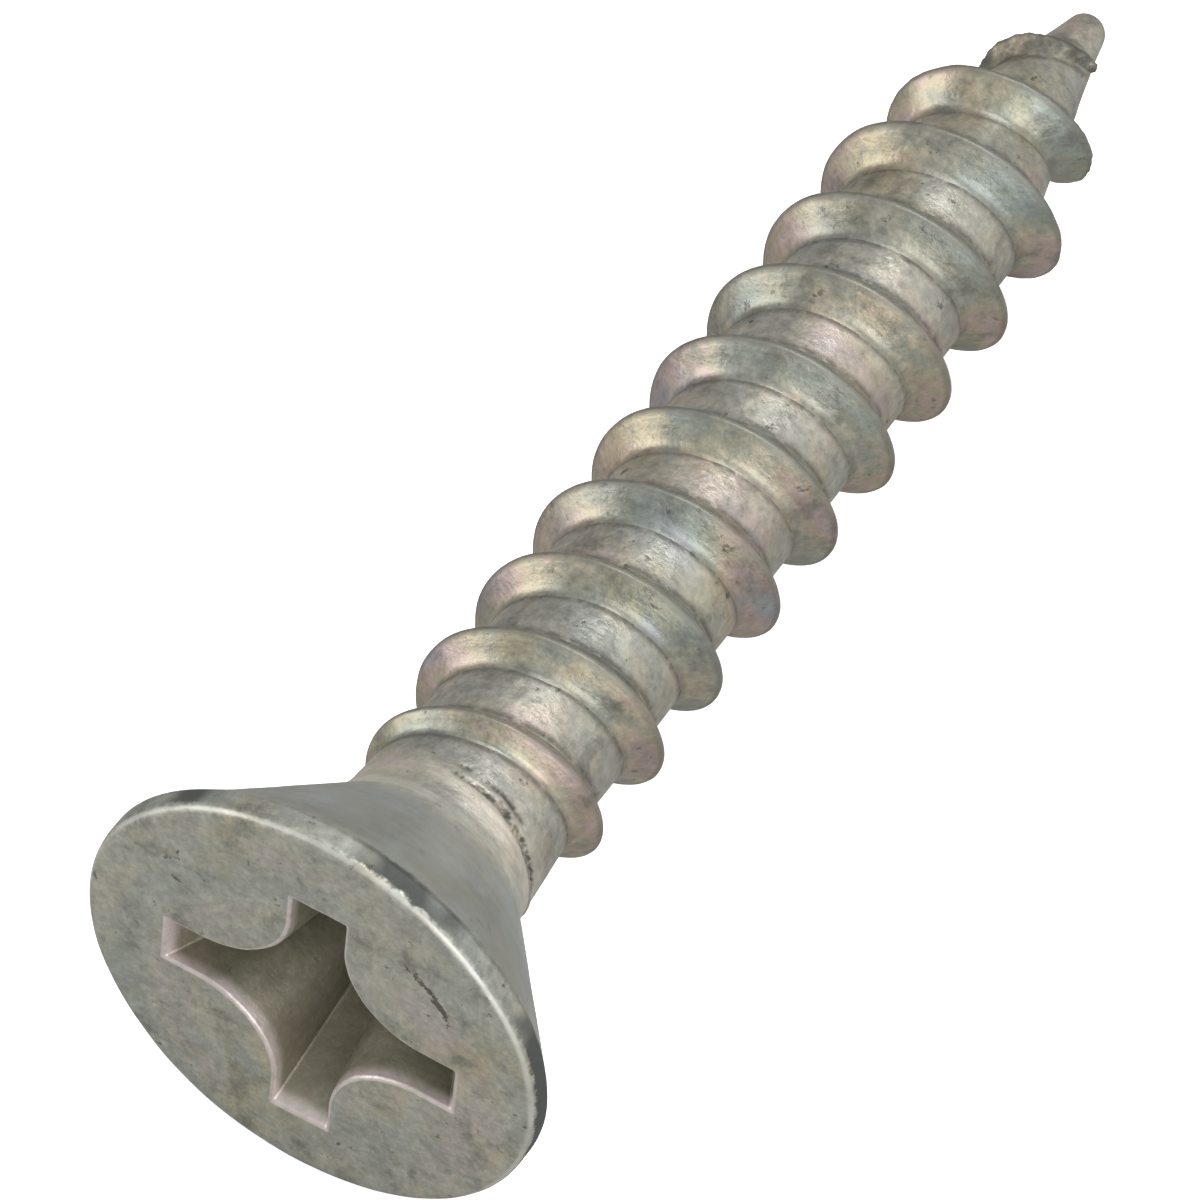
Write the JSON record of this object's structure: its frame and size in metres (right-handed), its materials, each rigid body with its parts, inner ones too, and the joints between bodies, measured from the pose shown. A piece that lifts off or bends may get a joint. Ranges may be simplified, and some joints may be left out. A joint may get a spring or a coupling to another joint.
{
  "type": "wood screw",
  "caption": "Countersunk wood screw with a cross recess, a full-length helical thread and a blunt gimlet point, dull zinc plated.",
  "frame": {"origin": "centre of the head's flat face, on the screw's axis", "axes": "+Y along the axis from the head's flat face to the point; -Y is the way the face looks; +X and +Z are square to the axis, and the recess wings lie within 5 degrees of X and Z"},
  "size_m": [0.0106, 0.0315, 0.0106],
  "materials": {
    "head_zinc": "dull zinc plate, slightly iridescent",
    "shank_zinc": "dull zinc plate, slightly iridescent",
    "thread_zinc": "dull zinc plate, slightly iridescent"
  },
  "bodies": {
    "root": {"countersunk_head": "head_zinc", "neck": "shank_zinc", "thread_root": "shank_zinc", "gimlet_point": "shank_zinc", "thread_run_out": "thread_zinc", "thread_ridge": "thread_zinc", "point_thread": "thread_zinc"}
  },
  "joints": []
}
